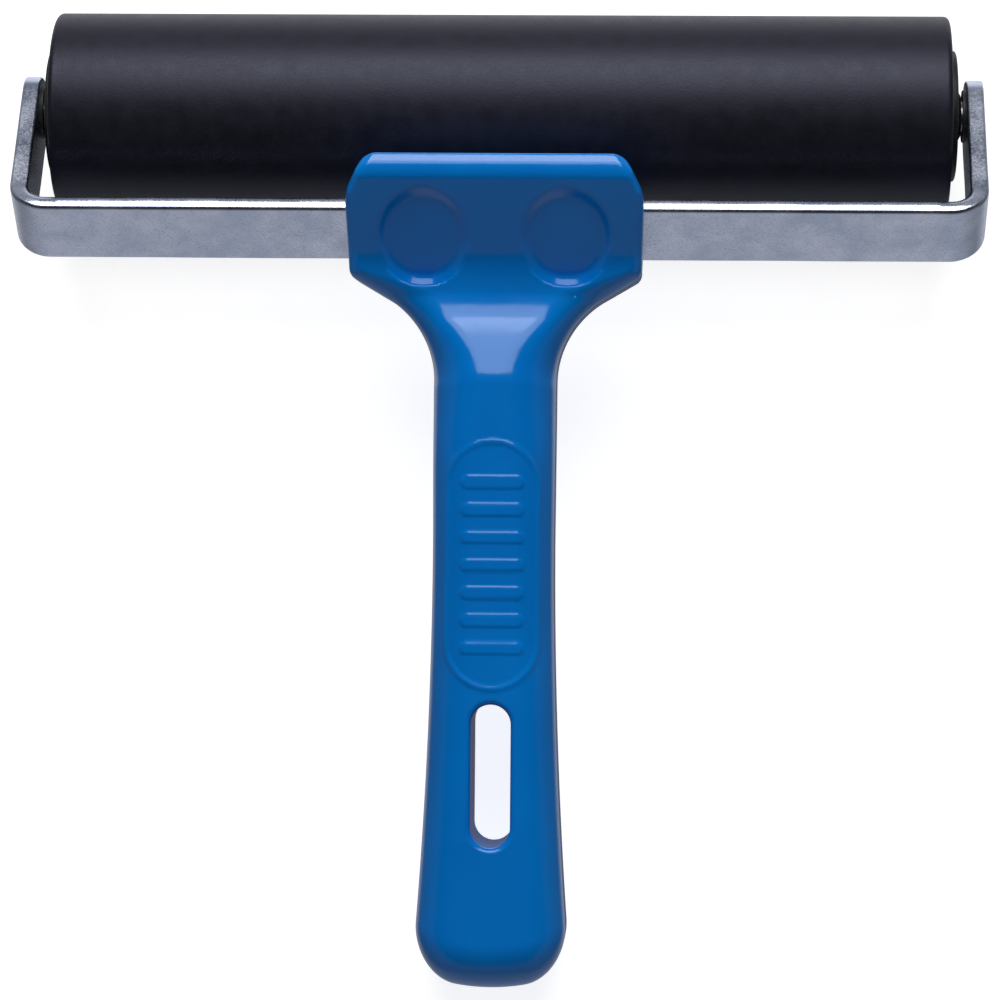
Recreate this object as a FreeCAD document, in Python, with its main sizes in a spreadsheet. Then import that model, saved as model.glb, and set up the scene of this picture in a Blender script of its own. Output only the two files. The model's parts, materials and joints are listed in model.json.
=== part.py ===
"""Rubber brayer: a soft roller in a bent steel yoke on a one-piece moulded handle.

The row frame stands the tool on a table, resting on its roller and on the butt of its handle:
X runs along the roller, +Y points from the handle to the roller, +Z is up, and the origin is
under the middle of the whole tool.  Three local frames are placed in it, all with X in common:

  roller frame  origin in the middle of the roller's axis
  strip frame   the same origin, +Y along the yoke's arms (away from the handle)
  handle frame  origin in the middle of the strip's outer face, +Y along the grip towards the
                roller, +Z out of the grip's front
"""
import FreeCAD, Part

import math
import os
import re

import Sketcher
from FreeCAD import Placement, Rotation, Vector

SIZES = {
    # roller
    "roller_length": 150.0,
    "roller_radius": 16.7,
    "sleeve_bore_radius": 11.0,
    "sleeve_edge_radius": 1.0,
    "core_bore_radius": 9.0,
    # end plugs
    "plug_flange": 3.2,
    "plug_proud": 1.2,
    "plug_spigot": 12.0,
    "plug_edge": 0.4,
    "hub_base_radius": 5.0,
    "hub_tip_radius": 3.7,
    "hub_length": 0.9,
    # axle and washers
    "axle_radius": 2.5,
    "axle_clearance": 0.05,
    "peen_radius": 3.2,
    "peen_height": 0.3,
    "washer_radius": 4.4,
    "washer_thickness": 0.4,
    # yoke strip
    "strip_width": 12.0,
    "strip_thickness": 3.0,
    "strip_edge_radius": 1.4,
    "arm_end_radius": 5.99,
    "yoke_half_width": 80.8,
    "yoke_bend_radius": 5.5,
    "axis_height": 27.4,
    "anchor_radius": 2.5,
    "anchor_offset": 16.0,
    # handle, grip: places along the handle's length and half widths there
    "grip_front": 12.0,
    "grip_back": 8.0,
    "butt_y": -123.3,
    "butt_half_width": 12.9,
    "palm_y": -100.0,
    "palm_half_width": 11.55,
    "middle_y": -75.0,
    "middle_half_width": 10.35,
    "waist_y": -47.0,
    "waist_half_width": 9.96,
    "neck_y": -24.0,
    "neck_half_width": 10.1,
    "grip_corner_radius": 7.0,
    "butt_edge_radius": 6.0,
    # handle, neck: the front slopes down to the valley while the sides flare out
    "neck_bend_y": -18.5,
    "neck_bend_half_width": 11.2,
    "neck_bend_front": 10.24,
    "flare_y": -13.5,
    "flare_half_width": 14.3,
    "flare_front": 8.12,
    "flare_back": 8.4,
    "flare_corner_radius": 6.5,
    "valley_y": -8.3,
    "valley_half_width": 20.6,
    "valley_front": 5.9,
    "valley_back": 8.8,
    "valley_corner_radius": 6.0,
    # handle, head: a block round the strip, its face rising from the valley to a fin
    "head_half_width": 24.3,
    "head_bottom": 6.6,
    "head_chamfer_y": 6.2,
    "head_top_half_width": 21.0,
    "head_top": 12.5,
    "head_wall_inner": 5.5,
    "head_rear": 8.0,
    "fin_corner_y": 9.15,
    "fin_corner_z": 18.5,
    "fin_slope": 20.0,
    "fin_edge_radius": 2.3,
    "waste_margin": 2.0,
    # handle, details
    "slot_half_width": 3.25,
    "slot_near": 76.7,
    "slot_far": 100.0,
    "recess_radius": 6.7,
    "recess_offset": 11.7,
    "recess_y": -0.1,
    "recess_depth": 1.2,
    # how the local frames lie in the row frame
    "strip_tilt": 37.5,
    "rest_tilt": 10.416,
    "axis_y": 65.07,
}

doc = FreeCAD.newDocument("brayer")
sheet = doc.addObject("Spreadsheet::Sheet", "sizes")


def fill_sheet():
    """One row per driving dimension: its name, its value, and the name again as its alias."""
    for row, (name, value) in enumerate(SIZES.items(), start=1):
        sheet.set(f"A{row}", name)
        sheet.set(f"B{row}", str(value))
        sheet.setAlias(f"B{row}", name)
    doc.recompute()


def size(name):
    return float(sheet.get(name))


def cell(text):
    """An expression in which every word that names a driving dimension reads its cell."""
    return re.sub(r"[a-z_]+", lambda word: "sizes." * (word[0] in SIZES) + word[0], text)


# ---------------------------------------------------------------- sketches and features


def new_body(name):
    body = doc.addObject("PartDesign::Body", name)
    body.Label = name
    return body


def origin_plane(body, role):
    return next(item for item in body.Origin.OriginFeatures if item.Role == role)


def new_sketch(body, name, role):
    sketch = body.newObject("Sketcher::SketchObject", name)
    sketch.AttachmentSupport = [(origin_plane(body, role), "")]
    sketch.MapMode = "FlatFace"
    doc.recompute()
    return sketch


def value_of(sketch, expression):
    result = sketch.evalExpression(expression)
    return float(getattr(result, "Value", result))


def pin(sketch, geometry, point, corner):
    """Holds one end of a line or arc at a corner whose two coordinates are expressions."""
    for kind, expression in zip(("DistanceX", "DistanceY"), corner):
        value = value_of(sketch, expression)
        index = sketch.addConstraint(Sketcher.Constraint(kind, -1, 1, geometry, point, value))
        sketch.setExpression(f"Constraints[{index}]", expression)


def arc_through(start, end, radius):
    """The shorter arc from start to end, bulging to the right of the way, or left if negative."""
    chord = end - start
    right = Vector(chord.y, -chord.x, 0).normalize()
    rise = abs(radius) - math.sqrt(radius ** 2 - chord.Length ** 2 / 4)
    return Part.Arc(start, (start + end) / 2 + right * math.copysign(rise, radius), end)


def add_outline(sketch, corners, arcs=None):
    """A closed outline; arcs gives the radius expression and side of the sides that are round."""
    arcs = arcs or {}
    corners = [tuple(cell(axis) for axis in corner) for corner in corners]
    points = [Vector(value_of(sketch, x), value_of(sketch, y), 0) for x, y in corners]
    for number, start in enumerate(points):
        end = points[(number + 1) % len(points)]
        if number in arcs:
            text, side = arcs[number]
            radius = value_of(sketch, cell(text))
            index = sketch.addGeometry(arc_through(start, end, side * radius), False)
            bend = sketch.addConstraint(Sketcher.Constraint("Radius", index, radius))
            sketch.setExpression(f"Constraints[{bend}]", cell(text))
        else:
            index = sketch.addGeometry(Part.LineSegment(start, end), False)
        first = 1 if sketch.getPoint(index, 1).isEqual(start, 1e-6) else 2
        pin(sketch, index, first, corners[number])
        pin(sketch, index, 3 - first, corners[(number + 1) % len(corners)])


def add_circle(sketch, centre, radius):
    centre = tuple(cell(axis) for axis in centre)
    where = Vector(value_of(sketch, centre[0]), value_of(sketch, centre[1]), 0)
    circle = Part.Circle(where, Vector(0, 0, 1), value_of(sketch, cell(radius)))
    index = sketch.addGeometry(circle, False)
    bound = sketch.addConstraint(Sketcher.Constraint("Radius", index, circle.Radius))
    sketch.setExpression(f"Constraints[{bound}]", cell(radius))
    pin(sketch, index, 3, centre)


def pad_both_ways(body, name, sketch, length):
    pad = body.newObject("PartDesign::Pad", name)
    pad.Profile = sketch
    pad.Midplane = True
    pad.setExpression("Length", cell(length))
    sketch.Visibility = False
    doc.recompute()
    return pad


def cut_through(body, name, sketch, both_ways=True, reverse=False):
    """A pocket through everything, checked to have removed material."""
    before = body.Shape.Volume
    pocket = body.newObject("PartDesign::Pocket", name)
    pocket.Profile = sketch
    pocket.Type = "ThroughAll"
    pocket.Midplane = both_ways
    pocket.Reversed = reverse
    doc.recompute()
    if not body.Shape.Volume < before - 1e-3:
        raise RuntimeError(f"{name} removed nothing")
    return pocket


def revolve_about_x(body, name, corners):
    """A closed section (along X, out from X) turned once about the X axis."""
    sketch = new_sketch(body, f"{name}_section", "XY_Plane")
    add_outline(sketch, corners)
    turn = body.newObject("PartDesign::Revolution", name)
    turn.Profile = sketch
    turn.ReferenceAxis = (sketch, ["H_Axis"])
    turn.Angle = 360.0
    doc.recompute()
    return turn


def edges_where(shape, test):
    return [f"Edge{number}" for number, edge in enumerate(shape.Edges, start=1) if test(edge)]


def round_edges(body, name, radius, test):
    base = body.Tip
    names = edges_where(base.Shape, test)
    if not names:
        raise RuntimeError(f"{name} found no edge")
    fillet = body.newObject("PartDesign::Fillet", name)
    fillet.Base = (base, names)
    fillet.setExpression("Radius", cell(radius))
    doc.recompute()
    return fillet


def middle_of(edge):
    return edge.valueAt((edge.FirstParameter + edge.LastParameter) / 2)


def lies_along_x(edge):
    start, end = edge.Vertexes[0].Point, edge.Vertexes[-1].Point
    return abs(abs(start.x - end.x) - edge.Length) < 1e-6


# ---------------------------------------------------------------- places of the local frames


def roller_frame():
    return Placement(Vector(0, size("axis_y"), size("roller_radius")), Rotation())


def strip_frame():
    turn = Rotation(Vector(1, 0, 0), size("rest_tilt") - size("strip_tilt"))
    return Placement(roller_frame().Base, turn)


def handle_frame():
    outer_face = strip_frame().multVec(Vector(0, -size("axis_height"), 0))
    return Placement(outer_face, Rotation(Vector(1, 0, 0), size("rest_tilt")))


# ---------------------------------------------------------------- the roller


def make_sleeve():
    body = new_body("rubber_sleeve")
    end = "roller_length / 2"
    start = "- roller_length / 2"
    revolve_about_x(body, "sleeve", [
        (start, "sleeve_bore_radius"),
        (end, "sleeve_bore_radius"),
        (end, "roller_radius"),
        (start, "roller_radius"),
    ])
    outer = size("roller_radius")
    round_edges(body, "sleeve_edges", "sleeve_edge_radius",
                lambda edge: abs(getattr(edge.Curve, "Radius", 0) - outer) < 1e-6
                and abs(middle_of(edge).x) > 1)
    body.Placement = roller_frame()
    return body


def make_core_tube():
    body = new_body("core_tube")
    end = "roller_length / 2 + plug_proud - plug_flange"
    start = "- roller_length / 2 - plug_proud + plug_flange"
    revolve_about_x(body, "tube", [
        (start, "core_bore_radius"),
        (end, "core_bore_radius"),
        (end, "sleeve_bore_radius"),
        (start, "sleeve_bore_radius"),
    ])
    body.Placement = roller_frame()
    return body


def make_end_plug(side):
    """A flanged plug: spigot in the tube, disc against its end, short tapered hub outside."""
    body = new_body("end_plug_right" if side > 0 else "end_plug_left")
    face = "roller_length / 2 + plug_proud"
    stations = [
        (f"{face} - plug_flange - plug_spigot", "axle_radius + axle_clearance"),
        (f"{face} + hub_length", "axle_radius + axle_clearance"),
        (f"{face} + hub_length", "hub_tip_radius"),
        (face, "hub_base_radius"),
        (face, "sleeve_bore_radius - plug_edge"),
        (f"{face} - plug_edge", "sleeve_bore_radius"),
        (f"{face} - plug_flange", "sleeve_bore_radius"),
        (f"{face} - plug_flange", "core_bore_radius"),
        (f"{face} - plug_flange - plug_spigot", "core_bore_radius"),
    ]
    revolve_about_x(body, "plug", [(f"{side} * ( {along} )", out) for along, out in stations])
    body.Placement = roller_frame()
    return body


# ---------------------------------------------------------------- axle, washers, yoke


def make_axle():
    body = new_body("axle")
    arm = "yoke_half_width"
    tip = "yoke_half_width + peen_height"
    revolve_about_x(body, "rod", [
        (f"- ( {tip} )", "0"),
        (tip, "0"),
        (tip, "axle_radius"),
        (arm, "peen_radius"),
        (arm, "axle_radius"),
        (f"- {arm}", "axle_radius"),
        (f"- {arm}", "peen_radius"),
        (f"- ( {tip} )", "axle_radius"),
    ])
    body.Placement = roller_frame()
    return body


def make_washer(side):
    body = new_body("thrust_washer_right" if side > 0 else "thrust_washer_left")
    arm = "yoke_half_width - strip_thickness"
    section = [
        (f"{arm} - washer_thickness", "axle_radius + axle_clearance"),
        (arm, "axle_radius + axle_clearance"),
        (arm, "washer_radius"),
        (f"{arm} - washer_thickness", "washer_radius"),
    ]
    revolve_about_x(body, "washer", [(f"{side} * ( {along} )", out) for along, out in section])
    body.Placement = roller_frame()
    return body


def make_yoke():
    """Flat strip bent into a U, arms with round ends, edges softened by rolling."""
    body = new_body("yoke_frame")
    out = "yoke_half_width"
    inner = "yoke_half_width - strip_thickness"
    tip = "strip_width / 2"
    bar = "- axis_height"
    outline = new_sketch(body, "yoke_outline", "XY_Plane")
    add_outline(outline, [
        (f"- {out}", tip), (f"- {out}", f"{bar} + yoke_bend_radius"),
        (f"- {out} + yoke_bend_radius", bar), (f"{out} - yoke_bend_radius", bar),
        (out, f"{bar} + yoke_bend_radius"), (out, tip),
        (inner, tip), (inner, f"{bar} + yoke_bend_radius"),
        (f"{out} - yoke_bend_radius", f"{bar} + strip_thickness"),
        (f"- {out} + yoke_bend_radius", f"{bar} + strip_thickness"),
        (f"- ( {inner} )", f"{bar} + yoke_bend_radius"), (f"- ( {inner} )", tip),
    ], {
        1: ("yoke_bend_radius", 1),
        3: ("yoke_bend_radius", 1),
        7: ("yoke_bend_radius - strip_thickness", -1),
        9: ("yoke_bend_radius - strip_thickness", -1),
    })
    pad_both_ways(body, "yoke_strip", outline, "strip_width")
    half = size("strip_width") / 2
    round_edges(body, "arm_ends", "arm_end_radius",
                lambda edge: lies_along_x(edge) and edge.Length < 10
                and abs(middle_of(edge).y - half) < 1e-6)
    round_edges(body, "rolled_edges", "strip_edge_radius", lambda edge: not lies_along_x(edge))
    holes = new_sketch(body, "axle_holes", "YZ_Plane")
    add_circle(holes, ("0", "0"), "axle_radius")
    cut_through(body, "axle_hole_cut", holes)
    anchors = new_sketch(body, "anchor_holes", "XZ_Plane")
    add_circle(anchors, ("anchor_offset", "0"), "anchor_radius")
    add_circle(anchors, ("- anchor_offset", "0"), "anchor_radius")
    cut_through(body, "anchor_cut", anchors)
    body.Placement = strip_frame()
    return body


# ---------------------------------------------------------------- the handle


def tilted(across, along):
    """A side-view corner (handle frame) at a place given in the strip's own directions.

    across is measured from the strip's outer face towards the roller, along is measured from
    the strip's middle towards the handle's front.
    """
    tilt = "(strip_tilt * 1 deg)"
    return (f"({across}) * cos{tilt} + ({along}) * sin{tilt}",
            f"({along}) * cos{tilt} - ({across}) * sin{tilt}")


def section_across(body, name, y, half_width, front, back, radius):
    """A rounded rectangle across the handle at one place along its length."""
    sketch = new_sketch(body, name, "XZ_Plane")
    sketch.setExpression(".AttachmentOffset.Base.z", cell(f"-({y})"))
    doc.recompute()
    low, high = f"-({back})", front
    flat = f"{half_width} - {radius}"
    add_outline(sketch, [
        (f"-({flat})", low), (flat, low),
        (half_width, f"{low} + {radius}"), (half_width, f"{high} - {radius}"),
        (flat, high), (f"-({flat})", high),
        (f"-({half_width})", f"{high} - {radius}"), (f"-({half_width})", f"{low} + {radius}"),
    ], {side: (radius, 1) for side in (1, 3, 5, 7)})
    return sketch


def make_handle_blank():
    """The moulding before the strip, slot and recesses are cut out of it."""
    body = new_body("handle_blank")
    add_head(body)
    add_grip(body)
    cut_slot(body)
    return body


def add_head(body):
    """A block round the strip, its rear parallel to it, cut to its outline seen from the front."""
    side_view = new_sketch(body, "head_side_view", "YZ_Plane")
    tilt, slope = "(strip_tilt * 1 deg)", "(fin_slope * 1 deg)"
    add_outline(side_view, [
        ("valley_y", "- valley_back"),
        tilted("head_wall_inner", "- head_rear"),
        ("head_top", f"(head_top * cos{tilt} - head_wall_inner) / sin{tilt}"),
        ("head_top", f"fin_corner_z - (head_top - fin_corner_y) * tan{slope}"),
        ("fin_corner_y", "fin_corner_z"),
        ("valley_y", "valley_front"),
    ])
    pad_both_ways(body, "head_pad", side_view, "head_half_width * 2")
    fin_tip = Vector(0, size("fin_corner_y"), size("fin_corner_z"))
    round_edges(body, "fin_edge", "fin_edge_radius", lambda edge: lies_along_x(edge)
                and (middle_of(edge) - fin_tip).Length < 1e-3)
    for side, name in ((1, "right"), (-1, "left")):
        corners = new_sketch(body, f"head_waste_{name}", "XY_Plane")
        out = f"{side} * (head_half_width + waste_margin)"
        add_outline(corners, [
            (f"{side} * head_half_width", "head_chamfer_y"),
            (out, "head_chamfer_y"), (out, "head_top + waste_margin"),
            (f"{side} * head_top_half_width", "head_top + waste_margin"),
            (f"{side} * head_top_half_width", "head_top"),
        ])
        cut_through(body, f"head_corner_{name}", corners)
        flare = new_sketch(body, f"flare_waste_{name}", "XY_Plane")
        add_outline(flare, [
            (f"{side} * head_half_width", "- head_bottom"),
            (f"{side} * valley_half_width", "valley_y"),
            (f"{side} * valley_half_width", "valley_y - waste_margin"),
            (out, "valley_y - waste_margin"), (out, "- head_bottom"),
        ])
        cut_through(body, f"flare_cut_{name}", flare)


def add_loft(body, name, stations):
    """A smooth loft through rounded sections, each named in the sheet by its place."""
    sections = []
    for place, front, back, radius in stations:
        sections.append(section_across(body, f"{name}_{place}", f"{place}_y",
                                       f"{place}_half_width", front, back, radius))
    loft = body.newObject("PartDesign::AdditiveLoft", name)
    loft.Profile = sections[0]
    loft.Sections = sections[1:]
    doc.recompute()


def add_grip(body):
    """The grip from butt to neck, and the neck from there down into the head's valley."""
    add_loft(body, "neck_loft", [
        ("valley", "valley_front", "valley_back", "valley_corner_radius"),
        ("flare", "flare_front", "flare_back", "flare_corner_radius"),
        ("neck_bend", "neck_bend_front", "grip_back", "flare_corner_radius"),
        ("neck", "grip_front", "grip_back", "grip_corner_radius"),
    ])
    add_loft(body, "grip_loft", [
        (place, "grip_front", "grip_back", "grip_corner_radius")
        for place in ("neck", "waist", "middle", "palm", "butt")
    ])
    end = size("butt_y")
    round_edges(body, "butt_edge", "butt_edge_radius",
                lambda edge: abs(middle_of(edge).y - end) < 1e-3)


def cut_slot(body):
    slot = new_sketch(body, "slot_outline", "XY_Plane")
    near, far = "- slot_near - slot_half_width", "- slot_far + slot_half_width"
    add_outline(slot, [
        ("slot_half_width", far), ("slot_half_width", near), ("0", "- slot_near"),
        ("- slot_half_width", near), ("- slot_half_width", far), ("0", "- slot_far"),
    ], {side: ("slot_half_width", 1) for side in (1, 2, 4, 5)})
    cut_through(body, "slot_cut", slot)


def make_recess_tool(side):
    """A round pocket drawn straight back, with its floor parallel to the head's face."""
    round_tool = doc.addObject("Part::Cylinder", "recess_round")
    round_tool.setExpression("Radius", cell("recess_radius"))
    round_tool.setExpression("Height", cell("fin_corner_z * 2"))
    centre = Vector(side * size("recess_offset"), size("recess_y"), 0)
    round_tool.Placement = handle_frame() * Placement(centre, Rotation())
    layer = doc.addObject("Part::Box", "recess_layer")
    layer.setExpression("Length", cell("head_half_width * 2"))
    layer.setExpression("Width", cell("fin_corner_z * 2"))
    layer.setExpression("Height", cell("fin_corner_z"))
    valley = Vector(0, size("valley_y"), size("valley_front"))
    fin = Vector(0, size("fin_corner_y"), size("fin_corner_z"))
    up_the_face = Placement(valley, Rotation(Vector(0, 1, 0), fin - valley))
    corner = Vector(-size("head_half_width"), 0, -size("recess_depth"))
    layer.Placement = handle_frame() * up_the_face * Placement(corner, Rotation())
    tool = doc.addObject("Part::Common", "recess_tool")
    tool.Base = round_tool
    tool.Tool = layer
    return tool


def make_handle(yoke):
    """The moulding as it is: formed round the strip, whose anchor holes it fills."""
    blank = make_handle_blank()
    blank.Placement = handle_frame()
    shape = blank
    for name, tool in (("handle_with_recess", make_recess_tool(-1)),
                       ("handle_with_recesses", make_recess_tool(1)),
                       ("handle", yoke)):
        cut = doc.addObject("Part::Cut", name)
        cut.Base = shape
        cut.Tool = tool
        shape = cut
    doc.recompute()
    shape.Label = "handle"
    return shape


def check(parts):
    """Stops the build unless every object is sound and every piece is one valid solid."""
    for item in doc.Objects:
        if "Invalid" in item.State or "Error" in item.State:
            raise RuntimeError(f"{item.Name} failed: {item.State}")
    for part in parts:
        shape = part.Shape
        if shape.isNull() or not shape.isValid() or len(shape.Solids) != 1:
            raise RuntimeError(f"{part.Label} isn't one valid solid")


def main():
    fill_sheet()
    yoke = make_yoke()
    parts = [make_handle(yoke), yoke, make_axle(), make_washer(-1), make_washer(1),
             make_sleeve(), make_core_tube(), make_end_plug(-1), make_end_plug(1)]
    doc.recompute()
    check(parts)
    os.makedirs("parts", exist_ok=True)
    for part in parts:
        part.Shape.exportStep(f"parts/{part.Label}.step")
        box = part.Shape.optimalBoundingBox(False)
        print(f"{part.Label:22}{part.Shape.Volume:10.1f} mm3  "
              f"Y {box.YMin:8.2f} {box.YMax:8.2f}  Z {box.ZMin:6.2f} {box.ZMax:6.2f}")


main()
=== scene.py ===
"""The looks of a rubber brayer: a blue moulded handle, a plated strip yoke and a black roller.

Shapes are worked out in millimetres in local frames that share the X axis along the roller:

  roller frame  origin in the middle of the roller's axis, axes as the CAD's frame
  strip frame   the same origin, +Y along the yoke's arms, +Z towards the tool's front
  handle frame  origin in the middle of the strip's outer face, +Y up the grip towards the
                roller, +Z out of the grip's front
"""
import json
import math

import bpy
import numpy as np
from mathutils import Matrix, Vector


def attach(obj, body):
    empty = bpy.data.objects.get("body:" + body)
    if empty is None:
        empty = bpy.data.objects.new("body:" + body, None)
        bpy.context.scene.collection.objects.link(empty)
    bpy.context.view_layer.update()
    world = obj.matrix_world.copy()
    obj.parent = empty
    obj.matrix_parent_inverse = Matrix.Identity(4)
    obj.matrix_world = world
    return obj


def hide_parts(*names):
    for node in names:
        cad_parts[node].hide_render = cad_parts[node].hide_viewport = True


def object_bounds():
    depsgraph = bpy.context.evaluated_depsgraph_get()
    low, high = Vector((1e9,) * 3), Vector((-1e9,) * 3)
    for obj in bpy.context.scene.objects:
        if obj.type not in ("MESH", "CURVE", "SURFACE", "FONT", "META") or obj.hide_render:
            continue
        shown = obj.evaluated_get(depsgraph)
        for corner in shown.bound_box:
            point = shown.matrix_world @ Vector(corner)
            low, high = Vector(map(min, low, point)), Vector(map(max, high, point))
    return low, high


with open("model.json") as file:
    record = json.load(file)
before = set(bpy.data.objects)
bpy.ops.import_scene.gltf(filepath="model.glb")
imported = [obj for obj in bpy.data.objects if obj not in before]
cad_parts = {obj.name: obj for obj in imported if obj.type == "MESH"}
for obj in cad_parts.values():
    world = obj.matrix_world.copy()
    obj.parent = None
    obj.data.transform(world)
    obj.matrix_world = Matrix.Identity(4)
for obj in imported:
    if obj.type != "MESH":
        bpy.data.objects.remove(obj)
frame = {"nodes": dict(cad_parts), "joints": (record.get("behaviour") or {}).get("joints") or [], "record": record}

import openvdb
from mathutils import Matrix, Vector

MM = 0.001
cad_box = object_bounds()

# roller, millimetres
ROLLER_LENGTH = 150.0
ROLLER_RADIUS = 16.7
CORE_RADIUS = 11.0
PLUG_PROUD = 1.2
PLUG_RADIUS = 11.0
PLUG_LENGTH = 15.2
HUB_PROUD = 0.9
BORE_CLEARANCE = 0.05
AXLE_RADIUS = 2.5
# the peened end's outline: how far it stands proud of the arm, and its radius there
AXLE_HEAD = ((0.0, 3.1), (0.14, 3.0), (0.22, 2.6), (0.3, 1.6), (0.3, 0.02))

# yoke
STRIP_WIDTH = 12.0
STRIP_THICKNESS = 3.0
STRIP_EDGE = 0.5
BAR_LEAN = math.radians(13.5)
BAR_RISE = 0.7
BAR_INNER_EDGE = 2.0
# the stretch of y where the bar's section turns into the arm's
BAR_END = (-27.0, -21.0)
STEEL_WAVES = 0.02
STEEL_WAVE_LENGTH = 14.0
STRIP_TILT = math.radians(37.5)
YOKE_HALF_WIDTH = 80.8
YOKE_BEND = 6.3
AXIS_HEIGHT = 27.4

# handle, grip
GRIP_FRONT = 12.0
GRIP_BACK = 7.84
GRIP_CORNER = 7.5
# the corner's radius changes up the grip: by how much, and from which y to which
CORNER_CHANGES = ((1.8, -38.0, -23.5), (-4.3, -24.5, -9.0), (-3.2, -11.0, -4.5))
GRIP_BACK_CORNER = 5.0
HEAD_BACK_CORNER = 2.0
# the stretch of y where the grip's back corner turns into the head's
BACK_CORNER_CHANGE = (-26.0, -14.0)
WAIST_HALF_WIDTH = 9.96
NECK_TAPER = 0.0054
WAIST_Y = -50.0
PALM_FLARE = 1680.0
BUTT_Y = -123.3
BUTT_ARC = 32.6

# handle, neck and head
FLARE_RADIUS = 15.8
FLARE_CENTRE = (25.9, -24.0)
FLARE_END = (18.3, -10.15)
HEAD_HALF_WIDTH = 24.3
HEAD_TAPER = 0.03
HEAD_BOTTOM_Y = -6.6
HEAD_CHAMFER_Y = 6.2
HEAD_TOP = (21.0, 12.5)
HEAD_EDGE = 0.8
HEAD_REAR_FACE = 5.5
HEAD_REAR_EDGE = 1.0
VALLEY_FILLET = 5.6
VALLEY = (-8.3, 5.9)
FIN_CORNER = (9.6, 18.57)
FIN_SLOPE = math.radians(23.0)
FIN_BEVEL_EDGE = 1.5
FIN_TOP_EDGE = 0.35
FACET_START_Y = -23.6
FACET_SLOPE = math.radians(22.0)
FACET_CROWN = 0.10
FACET_CROWN_SPAN = 14
FACET_EASE = 0.35
BACK_SLOPE = 0.0867
BACK_SLOPE_Y = -20.0

# handle, details
RECESS_OFFSET = 11.7
RECESS_Y = -0.5
RECESS_RADIUS = 6.2
RECESS_DEPTH = 0.9
RECESS_SPREAD = 1.25
RECESS_WALL = 1.3
RECESS_EDGE = 0.35
SLOT_HALF_WIDTH = 3.25
SLOT_ENDS = (-96.75, -79.95)
SLOT_EDGE = 1.0
RIB_HEIGHT = 0.19
RIB_PLACES = np.linspace(-40.5, -67.5, 7)
RIB_HALF_LENGTH = 4.2
RIB_HALF_WIDTH = 1.0
RIB_SLOPE = 0.35
OVAL_CENTRE_Y = -54.0
OVAL_HALF_STRAIGHT = 12.5
OVAL_RADIUS = 7.6
OVAL_LINE = 0.4
OVAL_SLOPE = 0.45

# meshing
HANDLE_STEP = 0.44
HANDLE_REGION = (-26, -125, -12), (26, 15, 21)
YOKE_STEP = 0.38
YOKE_REGION = (-82, -29, -7), (82, 7, 8)
SETTLING_PASSES = 4

# ------------------------------------------------------------------ local frames

joint = frame["joints"][0]
mounts = {mount["name"]: mount for mount in frame["record"]["mounts"]}


def tilt_of(axis):
    return math.atan2(-axis[1], axis[2])


roller_place = Matrix.Translation(Vector(joint["pos_m"]))
rest_turn = tilt_of(mounts["hanging_slot"]["axis"])
strip_place = roller_place @ Matrix.Rotation(rest_turn - STRIP_TILT, 4, "X")
outer_face = strip_place @ Vector((0, -AXIS_HEIGHT * MM, 0))
handle_place = Matrix.Translation(outer_face) @ Matrix.Rotation(rest_turn, 4, "X")

# ------------------------------------------------------------------ solid shapes as fields
# A field is negative inside, zero on the surface and positive outside, in millimetres.


def both(a, b, radius):
    """Inside a and inside b, with the edge between them rounded."""
    corner = np.hypot(np.maximum(a + radius, 0), np.maximum(b + radius, 0))
    return np.minimum(np.maximum(a, b), -radius) + corner


def either(a, b, radius):
    """Inside a or inside b, with the inner corner between them filled."""
    return -both(-a, -b, radius)


def eased_bend(a, b, width):
    """Inside a and inside b, for two faces that meet at a shallow angle."""
    share = np.maximum(1 - np.abs(a - b) / width, 0)
    return np.maximum(a, b) + share * share * width / 4


def ease(low, high, value):
    t = np.clip((value - low) / (high - low), 0, 1)
    return t * t * (3 - 2 * t)


def right_of(a, b, start, end):
    """Distance of the point (a, b) to the right of the line from start towards end."""
    run, rise = end[0] - start[0], end[1] - start[1]
    return ((a - start[0]) * rise - (b - start[1]) * run) / math.hypot(run, rise)


def waves(x, y, z, length, seed, count=6):
    """Smooth wandering values between about -1 and 1, from a few sines in mixed directions."""
    rng = np.random.default_rng(seed)
    total = np.zeros_like(x)
    for _ in range(count):
        direction = rng.normal(size=3)
        direction *= rng.uniform(0.6, 1.4) * 2 * math.pi / length / np.linalg.norm(direction)
        phase = rng.uniform(0, 2 * math.pi)
        total += np.sin(direction[0] * x + direction[1] * y + direction[2] * z + phase)
    return total / (count / 2)


def mesh_from_field(name, field, low, high, step, place):
    """Meshes a field's zero surface, settles its points on it and takes normals from it."""
    axes = [np.arange(a, b + step, step) for a, b in zip(low, high)]
    grid = openvdb.FloatGrid(2 * step)
    values = field(*np.meshgrid(*axes, indexing="ij"))
    grid.copyFromArray(np.clip(values, -2 * step, 2 * step).astype(np.float32))
    points, quads = grid.convertToQuads(isovalue=0.0)
    points = points.astype(float) * step + np.array([axis[0] for axis in axes])
    for _ in range(SETTLING_PASSES):  # each moves a point by half a step at most
        value, slope = value_and_slope(field, points)
        steep = np.maximum((slope ** 2).sum(1), 0.1)
        move = slope * (value / steep)[:, None]
        size = np.linalg.norm(move, axis=1, keepdims=True)
        points -= move * np.minimum(1, 0.5 * step / np.maximum(size, 1e-9))
    _, slope = value_and_slope(field, points)
    turn = np.array(place.to_3x3())
    placed = points * MM @ turn.T + np.array(place.translation)
    mesh = bpy.data.meshes.new(name)
    mesh.from_pydata(placed.tolist(), [], quads.tolist())
    mesh.shade_smooth()
    normals = slope / np.linalg.norm(slope, axis=1, keepdims=True) @ turn.T
    mesh.normals_split_custom_set_from_vertices(normals.tolist())
    return add_object(name, mesh)


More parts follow.
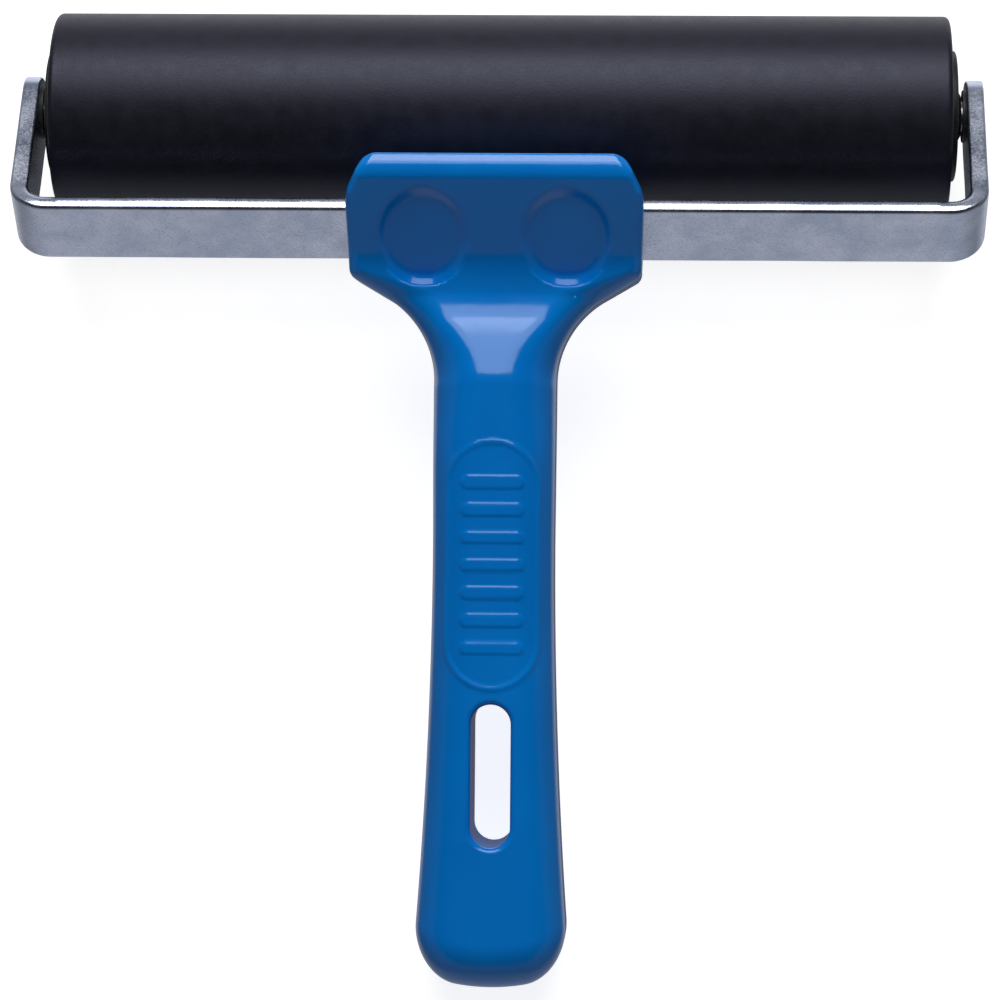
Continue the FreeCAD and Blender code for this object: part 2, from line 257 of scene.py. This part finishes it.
def value_and_slope(field, points, reach=0.02):
    slope = np.empty_like(points)
    for axis in range(3):
        shift = np.zeros(3)
        shift[axis] = reach
        ahead, behind = field(*(points + shift).T), field(*(points - shift).T)
        slope[:, axis] = (ahead - behind) / (2 * reach)
    return field(*points.T), slope


def add_object(name, mesh):
    piece = bpy.data.objects.new(name, mesh)
    bpy.context.scene.collection.objects.link(piece)
    return piece


# ------------------------------------------------------------------ handle


def handle_outline(x, y):
    """The handle as seen from its front: grip, flare, head and butt."""
    side = np.abs(x)
    palm = np.minimum(y - WAIST_Y, 0) ** 2 / PALM_FLARE
    grip = side - WAIST_HALF_WIDTH - palm - NECK_TAPER * np.maximum(y - WAIST_Y, 0)
    flare = FLARE_RADIUS - np.hypot(side - FLARE_CENTRE[0], y - FLARE_CENTRE[1])
    under = right_of(side, y, FLARE_END, (HEAD_HALF_WIDTH, HEAD_BOTTOM_Y))
    low = np.where(y < FLARE_CENTRE[1], grip, np.where(y < FLARE_END[1], flare, under))
    butt = np.hypot(x, y - BUTT_Y - BUTT_ARC) - BUTT_ARC
    butt = np.where(y < BUTT_Y + BUTT_ARC, butt, -BUTT_ARC)
    outline = both(low, butt, GRIP_CORNER)
    head_side = side - HEAD_HALF_WIDTH + HEAD_TAPER * (HEAD_CHAMFER_Y - y)
    outline = both(outline, head_side, HEAD_EDGE)
    chamfer = right_of(side, y, (HEAD_HALF_WIDTH, HEAD_CHAMFER_Y), HEAD_TOP)
    return both(outline, chamfer, HEAD_EDGE)


def face_depth(y, z):
    """Distance in front of the head's face, which rises from the valley to the fin's corner."""
    return -right_of(y, z, VALLEY, FIN_CORNER)


def handle_profile(across, y, z):
    """The handle as seen from its side, without its back."""
    down = y - FACET_START_Y
    facet = (z - GRIP_FRONT) * math.cos(FACET_SLOPE) + down * math.sin(FACET_SLOPE)
    reach = np.clip(down, 0, FACET_CROWN_SPAN)
    crown = FACET_CROWN * reach * (1 - (reach / FACET_CROWN_SPAN) ** 2)
    neck = eased_bend(z - GRIP_FRONT, facet - crown, FACET_EASE)
    bevel = ((z - FIN_CORNER[1]) * math.cos(FIN_SLOPE)
             + (y - FIN_CORNER[0]) * math.sin(FIN_SLOPE))
    head = both(face_depth(y, z), bevel, FIN_BEVEL_EDGE)
    head = both(head, y - HEAD_TOP[1], FIN_TOP_EDGE)
    front = either(neck, head, VALLEY_FILLET)
    return both(front, across - HEAD_REAR_FACE, HEAD_REAR_EDGE)


def raised(distance, slope):
    """1 inside a shape's edge and 0 outside, easing over a width of slope on either side."""
    return 1 - ease(-slope, slope, distance)


def rib_relief(x, y):
    """Height of plain cross ribs in an oval border on the grip's front."""
    height = np.zeros_like(x)
    for place in RIB_PLACES:
        rib = np.hypot(np.maximum(np.abs(x) - RIB_HALF_LENGTH, 0), y - place) - RIB_HALF_WIDTH
        height = np.maximum(height, raised(rib, RIB_SLOPE))
    past_straight = np.maximum(np.abs(y - OVAL_CENTRE_Y) - OVAL_HALF_STRAIGHT, 0)
    border = np.abs(np.hypot(x, past_straight) - OVAL_RADIUS) - OVAL_LINE
    return RIB_HEIGHT * np.maximum(height, raised(border, OVAL_SLOPE))


def cut_recesses(body, x, y, z):
    """Sinks the two round recesses, whose walls open outward, into the head's face."""
    from_centre = np.hypot(np.abs(x) - RECESS_OFFSET, y - RECESS_Y)
    above_floor = face_depth(y, z) + RECESS_DEPTH
    wall = from_centre - RECESS_RADIUS - RECESS_SPREAD * np.minimum(above_floor, RECESS_WALL)
    wall = wall / math.hypot(1, RECESS_SPREAD)
    return both(body, -both(wall, -above_floor, RECESS_EDGE), RECESS_EDGE)


def cut_slot(body, x, y):
    """Cuts the hanging slot right through the grip."""
    past_ends = np.maximum(np.maximum(y - SLOT_ENDS[1], SLOT_ENDS[0] - y), 0)
    return both(body, SLOT_HALF_WIDTH - np.hypot(x, past_ends), SLOT_EDGE)


def handle_field(x, y, z):
    """The whole handle, with the pocket that the strip fills."""
    across = y * math.cos(STRIP_TILT) - z * math.sin(STRIP_TILT)
    along = y * math.sin(STRIP_TILT) + z * math.cos(STRIP_TILT)
    corner = GRIP_CORNER + sum(change * ease(low, high, y) for change, low, high in CORNER_CHANGES)
    body = both(handle_outline(x, y), handle_profile(across, y, z), corner)
    back = -(z + GRIP_BACK + BACK_SLOPE * np.maximum(y - BACK_SLOPE_Y, 0))
    thin = ease(*BACK_CORNER_CHANGE, y)
    body = both(body, back, GRIP_BACK_CORNER + thin * (HEAD_BACK_CORNER - GRIP_BACK_CORNER))
    body = body - np.where(z > 0, rib_relief(x, y), 0)
    body = cut_slot(cut_recesses(body, x, y, z), x, y)
    return np.maximum(body, -strip_field(-across, along, 1.0))


def make_handle():
    return mesh_from_field("handle_moulding", handle_field, *HANDLE_REGION, HANDLE_STEP,
                           handle_place)


# ------------------------------------------------------------------ yoke


def strip_field(outward, z, bar):
    """The strip's section: outward from its outer face, z across its width.

    Along the bar (bar = 1) the front edge is drawn up, leans outward and is round inside.
    """
    half_width = STRIP_WIDTH / 2
    lean = bar * BAR_LEAN
    front = (z - half_width - bar * BAR_RISE) * np.cos(lean) + outward * np.sin(lean)
    inner = both(-outward - STRIP_THICKNESS, front,
                 STRIP_EDGE + bar * (BAR_INNER_EDGE - STRIP_EDGE))
    section = both(inner, outward, STRIP_EDGE)
    return both(section, -z - half_width, STRIP_EDGE)


def yoke_field(x, y, z):
    outward = both(np.abs(x) - YOKE_HALF_WIDTH, -y - AXIS_HEIGHT, YOKE_BEND)
    between_bends = np.abs(x) < YOKE_HALF_WIDTH - YOKE_BEND - 2
    bar = np.where(between_bends, 1.0, 1 - ease(*BAR_END, y))
    body = strip_field(outward, np.where(y > 0, np.hypot(y, z), z), bar)
    body = np.maximum(body, AXLE_RADIUS - np.hypot(y, z))
    return body + STEEL_WAVES * waves(x, y, z, STEEL_WAVE_LENGTH, seed=5)


def make_yoke():
    return mesh_from_field("yoke_strip", yoke_field, *YOKE_REGION, YOKE_STEP, strip_place)


# ------------------------------------------------------------------ turned pieces


def turned(name, outline, segments=160):
    """A piece turned about the roller's axis from (place along it, radius) corners."""
    corners = np.array(outline, float)
    angles = np.arange(segments) * 2 * math.pi / segments
    rings = [np.stack([np.full(segments, along), radius * np.cos(angles),
                       radius * np.sin(angles)], 1) for along, radius in corners]
    points = np.concatenate(rings) * MM + np.array(roller_place.translation)
    faces = []
    count = len(corners)
    for ring in range(count):
        after = (ring + 1) % count
        for step in range(segments):
            turn = (step + 1) % segments
            faces.append((ring * segments + step, ring * segments + turn,
                          after * segments + turn, after * segments + step))
    mesh = bpy.data.meshes.new(name)
    mesh.from_pydata(points.tolist(), [], faces)
    mesh.validate()
    mesh.shade_smooth()
    mesh.set_sharp_from_angle(angle=math.radians(32))
    return add_object(name, mesh)


def arc(centre, radius, start, end, steps=8):
    """Corners along an arc, angles in degrees from the axis direction."""
    turns = np.radians(np.linspace(start, end, steps + 1))
    return [(centre[0] + radius * math.cos(t), centre[1] + radius * math.sin(t)) for t in turns]


def make_sleeve():
    end, edge = ROLLER_LENGTH / 2, 1.0
    right = arc((end - edge, ROLLER_RADIUS - edge), edge, 0, 90)
    left = arc((edge - end, ROLLER_RADIUS - edge), edge, 90, 180)
    outline = [(-end, CORE_RADIUS), (end, CORE_RADIUS), *right, *left]
    return turned("rubber_sleeve_ground", outline, segments=256)


def plug_outline(side):
    """Bore, hub with a sloped shoulder, ring groove in the face, rim, flange and inner sleeve."""
    face = ROLLER_LENGTH / 2 + PLUG_PROUD
    hub, inner, flange = face + HUB_PROUD, face - PLUG_LENGTH, face - 3.2
    bore, sleeve = AXLE_RADIUS + BORE_CLEARANCE, 9.0
    corners = [
        (inner, bore), (hub, bore), (hub, 3.5), (hub - 0.15, 3.75), (face + 0.1, 4.9),
        (face, 5.2), (face, 7.0), (face - 0.25, 7.2), (face - 0.25, 8.4), (face, 8.6),
        (face, 10.5), (face - 0.15, 10.85), (face - 0.5, PLUG_RADIUS),
        (flange, PLUG_RADIUS), (flange, sleeve), (inner, sleeve),
    ]
    corners = [(side * along, radius) for along, radius in corners]
    return corners if side > 0 else corners[::-1]


def make_axle():
    arm = YOKE_HALF_WIDTH
    right = [(arm + proud, radius) for proud, radius in AXLE_HEAD]
    left = [(-along, radius) for along, radius in reversed(right)]
    outline = [*left, (-arm, AXLE_RADIUS), (arm, AXLE_RADIUS), *right]
    return turned("axle_peened", outline, segments=96)


# ------------------------------------------------------------------ materials


def add_node(tree, kind, links=None, **values):
    """Adds a node with its settings, and its inputs linked to sockets or set to values."""
    node = tree.nodes.new(kind)
    for key, value in values.items():
        setattr(node, key, value)
    for key, value in (links or {}).items():
        if isinstance(value, bpy.types.NodeSocket):
            tree.links.new(value, node.inputs[key])
        else:
            node.inputs[key].default_value = value
    return node


class Surface:
    """A node material round one Principled shader, built by short calls. Sizes are in mm."""

    def __init__(self, name):
        self.material = bpy.data.materials.new(name)
        self.material.use_nodes = True
        self.tree = self.material.node_tree
        self.shader = self.tree.nodes["Principled BSDF"]
        self.where = self.add("ShaderNodeTexCoord").outputs["Object"]

    def add(self, kind, links=None, **values):
        return add_node(self.tree, kind, links, **values)

    def stretched(self, scale):
        return self.add("ShaderNodeMapping", {"Vector": self.where, "Scale": scale}).outputs[0]

    def noise(self, size_mm, detail=3.0, rough=0.5, where=None):
        node = self.add("ShaderNodeTexNoise", {
            "Vector": where or self.where, "Scale": 1 / (size_mm * MM), "Detail": detail,
            "Roughness": rough})
        return node.outputs["Fac"]

    def ramp(self, value, low, high, start=0.0, end=1.0):
        """value from low to high becomes start to end, held beyond."""
        return self.add("ShaderNodeMapRange", {
            "Value": value, "From Min": low, "From Max": high, "To Min": start,
            "To Max": end}).outputs["Result"]

    def mix(self, share, first, second):
        node = self.add("ShaderNodeMix", data_type="RGBA")
        for socket, value in ((node.inputs["Factor"], share), (node.inputs[6], first),
                              (node.inputs[7], second)):
            if isinstance(value, bpy.types.NodeSocket):
                self.tree.links.new(value, socket)
            else:
                socket.default_value = value
        return node.outputs[2]

    def maths(self, kind, first, second):
        return self.add("ShaderNodeMath", {0: first, 1: second}, operation=kind).outputs[0]

    def bump(self, height, depth_mm, normal=None):
        links = {"Height": height, "Distance": depth_mm * MM, "Strength": 1.0}
        if normal:
            links["Normal"] = normal
        return self.add("ShaderNodeBump", links).outputs["Normal"]

    def set(self, **values):
        for key, value in values.items():
            socket = self.shader.inputs[key.replace("_", " ")]
            if isinstance(value, bpy.types.NodeSocket):
                self.tree.links.new(value, socket)
            else:
                socket.default_value = value
        return self.material


def rgb(red, green, blue):
    return (red, green, blue, 1.0)


def blue_plastic():
    s = Surface("handle_plastic")
    tone = s.noise(22.0, 2.0)
    cloud = s.noise(4.0, 4.0)
    deep, plain, pale = rgb(0.0, 0.222, 0.76), rgb(0.0, 0.248, 0.82), rgb(0.0, 0.255, 0.84)
    colour = s.mix(s.ramp(tone, 0.35, 0.65), deep, plain)
    colour = s.mix(s.ramp(cloud, 0.55, 0.8, 0.0, 0.35), colour, pale)
    peel = s.noise(3.5, 2.0)
    grain = s.noise(0.5, 2.0)
    rough = s.ramp(cloud, 0.3, 0.7, 0.12, 0.17)
    normal = s.bump(peel, 0.03)
    normal = s.bump(grain, 0.001, normal)
    return s.set(Base_Color=colour, Roughness=rough, Normal=normal, IOR=1.5)


def plated_steel():
    s = Surface("yoke_steel")
    patches = s.noise(6.0, 5.0, 0.6)
    grain = s.noise(0.45, 4.0, 0.65)
    cells = s.add("ShaderNodeTexVoronoi", {"Vector": s.where, "Scale": 1 / (1.6 * MM)})
    spangle = s.add("ShaderNodeSeparateColor", {"Color": cells.outputs["Color"]}).outputs[0]
    dull, bright = rgb(0.52, 0.58, 0.74), rgb(0.72, 0.77, 0.92)
    crystal, speck = rgb(0.46, 0.51, 0.64), rgb(0.30, 0.34, 0.44)
    colour = s.mix(s.ramp(patches, 0.38, 0.62), dull, bright)
    colour = s.mix(s.ramp(spangle, 0.0, 1.0, 0.0, 0.2), colour, crystal)
    colour = s.mix(s.ramp(grain, 0.56, 0.76, 0.0, 0.35), colour, speck)
    rough = s.maths("ADD", s.ramp(patches, 0.3, 0.7, 0.22, 0.32),
                    s.ramp(grain, 0.4, 0.7, -0.04, 0.08))
    normal = s.bump(patches, 0.02)
    normal = s.bump(grain, 0.0015, normal)
    return s.set(Base_Color=colour, Metallic=1.0, Roughness=rough, Normal=normal)


def ground_rubber():
    s = Surface("roller_rubber")
    mottle = s.noise(3.0, 4.0)
    grain = s.noise(0.35, 3.0, 0.6)
    rings = s.noise(1.2, 3.0, 0.6, s.stretched((1.0, 0.08, 0.08)))
    black, worn = rgb(0.0075, 0.0075, 0.012), rgb(0.0115, 0.0115, 0.018)
    colour = s.mix(s.ramp(mottle, 0.35, 0.65), black, worn)
    rough = s.maths("ADD", s.ramp(mottle, 0.3, 0.7, 0.40, 0.46),
                    s.ramp(grain, 0.3, 0.7, 0.0, 0.08))
    normal = s.bump(rings, 0.014)
    normal = s.bump(grain, 0.027, normal)
    return s.set(Base_Color=colour, Roughness=rough, Normal=normal, IOR=1.5,
                 Specular_Tint=rgb(0.72, 0.75, 1.0))


def dark_plastic(name, tone):
    s = Surface(name)
    mottle = s.noise(2.0, 3.0)
    grain = s.noise(0.4, 2.0)
    colour = s.mix(s.ramp(mottle, 0.35, 0.65), rgb(tone, tone, tone * 1.1),
                   rgb(tone * 1.5, tone * 1.5, tone * 1.6))
    normal = s.bump(grain, 0.01)
    return s.set(Base_Color=colour, Roughness=s.ramp(mottle, 0.3, 0.7, 0.45, 0.6), Normal=normal)


def turned_steel():
    s = Surface("axle_steel")
    rings = s.noise(0.5, 2.0, 0.5, s.stretched((1.0, 0.1, 0.1)))
    dents = s.noise(1.0, 3.0)
    colour = s.mix(s.ramp(dents, 0.35, 0.65), rgb(0.38, 0.39, 0.42), rgb(0.6, 0.61, 0.64))
    normal = s.bump(dents, 0.08, s.bump(rings, 0.01))
    return s.set(Base_Color=colour, Metallic=1.0, Roughness=s.ramp(rings, 0.3, 0.7, 0.25, 0.45),
                 Normal=normal)


def pale_floor():
    s = Surface("floor_paper")
    fibre = s.noise(6.0, 4.0)
    colour = s.mix(s.ramp(fibre, 0.3, 0.7), rgb(0.53, 0.53, 0.54), rgb(0.57, 0.57, 0.57))
    s.set(Base_Color=colour, Roughness=0.9, Normal=s.bump(fibre, 0.02))
    return s.set(Emission_Color=rgb(1, 1, 1), Emission_Strength=0.86)


# ------------------------------------------------------------------ dressing


def dress(piece, material, slot, body, *nodes):
    """Gives a new piece its material and body, and lets it stand for CAD nodes."""
    piece.data.materials.clear()
    piece.data.materials.append(material)
    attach(piece, body)
    if nodes:
        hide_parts(*nodes)


def dress_node(name, material):
    piece = frame["nodes"][name]
    piece.data.materials.clear()
    piece.data.materials.append(material)


def build_object():
    steel, plug = plated_steel(), dark_plastic("plug_plastic", 0.012)
    dress(make_handle(), blue_plastic(), "handle_plastic", "frame", "handle")
    dress(make_yoke(), steel, "yoke_steel", "frame", "yoke_frame")
    dress(make_axle(), turned_steel(), "axle_steel", "frame", "axle")
    dress(make_sleeve(), ground_rubber(), "roller_rubber", "roller", "rubber_sleeve")
    for side, name in ((1, "right"), (-1, "left")):
        piece = turned(f"end_plug_{name}_moulded", plug_outline(side))
        dress(piece, plug, "plug_plastic", "roller", f"end_plug_{name}")
        dress_node(f"thrust_washer_{name}", dark_plastic(f"washer_{name}_plastic", 0.03))
    dress_node("core_tube", dark_plastic("core_plastic", 0.02))


# ------------------------------------------------------------------ stage, camera, lights


def make_floor():
    reach = 3.0
    corners = [(-reach, -reach, 0), (reach, -reach, 0), (reach, reach, 0), (-reach, reach, 0)]
    mesh = bpy.data.meshes.new("floor")
    mesh.from_pydata(corners, [], [(0, 1, 2, 3)])
    mesh.materials.append(pale_floor())
    floor = add_object("floor", mesh)
    floor.visible_glossy = False
    floor.visible_diffuse = False


def make_camera():
    """Looks straight at the grip's front from 0.7 m, a little turned and rolled."""
    yaw, roll = -0.038, -0.008
    across, up, distance = 0.464, -43.419, 708.909
    turn = (Matrix.Rotation(roll, 4, "Z") @ Matrix.Rotation(yaw, 4, "Y")).transposed()
    place = turn @ Matrix.Translation(Vector((across, up, distance)) * MM)
    camera = bpy.data.objects.new("camera", bpy.data.cameras.new("camera"))
    camera.matrix_world = handle_place @ place
    camera.data.lens = 154.6
    camera.data.sensor_width = 36.0
    camera.data.clip_start, camera.data.clip_end = 0.01, 20.0
    bpy.context.scene.collection.objects.link(camera)
    bpy.context.scene.camera = camera


def area_light(name, centre, angle, distance, width, height, power, mirrored=True):
    """A soft panel facing the tool: angle from the grip's front towards the roller, degrees."""
    light = bpy.data.lights.new(name, "AREA")
    light.shape = "RECTANGLE"
    light.size, light.size_y, light.energy = width, height, power
    lamp = bpy.data.objects.new(name, light)
    lamp.matrix_world = (Matrix.Translation(centre)
                         @ Matrix.Rotation(rest_turn - math.radians(angle), 4, "X")
                         @ Matrix.Translation(Vector((0, 0, distance))))
    lamp.visible_glossy = mirrored
    bpy.context.scene.collection.objects.link(lamp)


def make_world():
    """Dark above and around, pale below, where the floor would be mirrored.

    The pale part is brighter on the roller's side, and leaves out the spot straight behind
    the grip, where the tool would shade the floor.
    """
    world = bpy.data.worlds.new("world")
    bpy.context.scene.world = world
    world.use_nodes = True
    tree = world.node_tree

    def ramp(value, low, high, start, end, kind="SMOOTHSTEP"):
        return add_node(tree, "ShaderNodeMapRange", {
            "Value": value, "From Min": low, "From Max": high, "To Min": start, "To Max": end,
        }, interpolation_type=kind).outputs["Result"]

    def along(vector, way):
        return add_node(tree, "ShaderNodeVectorMath", {0: vector, 1: way},
                        operation="DOT_PRODUCT").outputs["Value"]

    def maths(kind, first, second):
        return add_node(tree, "ShaderNodeMath", {0: first, 1: second}, operation=kind).outputs[0]

    direction = add_node(tree, "ShaderNodeTexCoord").outputs["Generated"]
    size = add_node(tree, "ShaderNodeVectorMath", {0: direction}, operation="ABSOLUTE").outputs[0]
    upward, forward = along(direction, (0, 0, 1)), along(direction, (0, 1, 0))
    # pale below a height that rises to the front and back and falls to the sides
    height = maths("ADD", upward, along(size, (0.3, -0.45, 0.0)))
    level = ramp(forward, -0.3, 0.6, 0.25, 0.85, "LINEAR")
    floor_light = ramp(height, -0.45, -0.72, 0.03, level)
    # but for the spot straight behind the grip
    behind = -Vector(mounts["hanging_slot"]["axis"])
    open_floor = ramp(along(direction, behind), 0.985, 0.93, 0.06, 1.0)
    # and a faint glow over the whole lower part, so that the steel mirrors something
    sides = ramp(along(size, (0, 1, 0)), 0.2, 0.8, 0.09, 0.24, "LINEAR")
    glow = ramp(upward, 0.45, 0.22, 0.0, sides)
    strength = maths("ADD", maths("MULTIPLY", floor_light, open_floor), glow)
    sky = tree.nodes["Background"]
    tree.links.new(strength, sky.inputs["Strength"])
    sky.inputs["Color"].default_value = rgb(0.93, 0.95, 1.0)


def make_lights():
    low, high = cad_box
    centre = (low + high) / 2
    area_light("soft_main", centre, 47, 1.0, 0.9, 0.7, 5.9)
    area_light("soft_heart", centre, 55, 0.98, 0.8, 0.3, 2.3)
    area_light("soft_front", centre, 0, 1.2, 1.2, 1.2, 0.5, mirrored=False)
    make_world()
    bpy.context.scene.view_settings.view_transform = "Standard"


build_object()
make_floor()
make_camera()
make_lights()
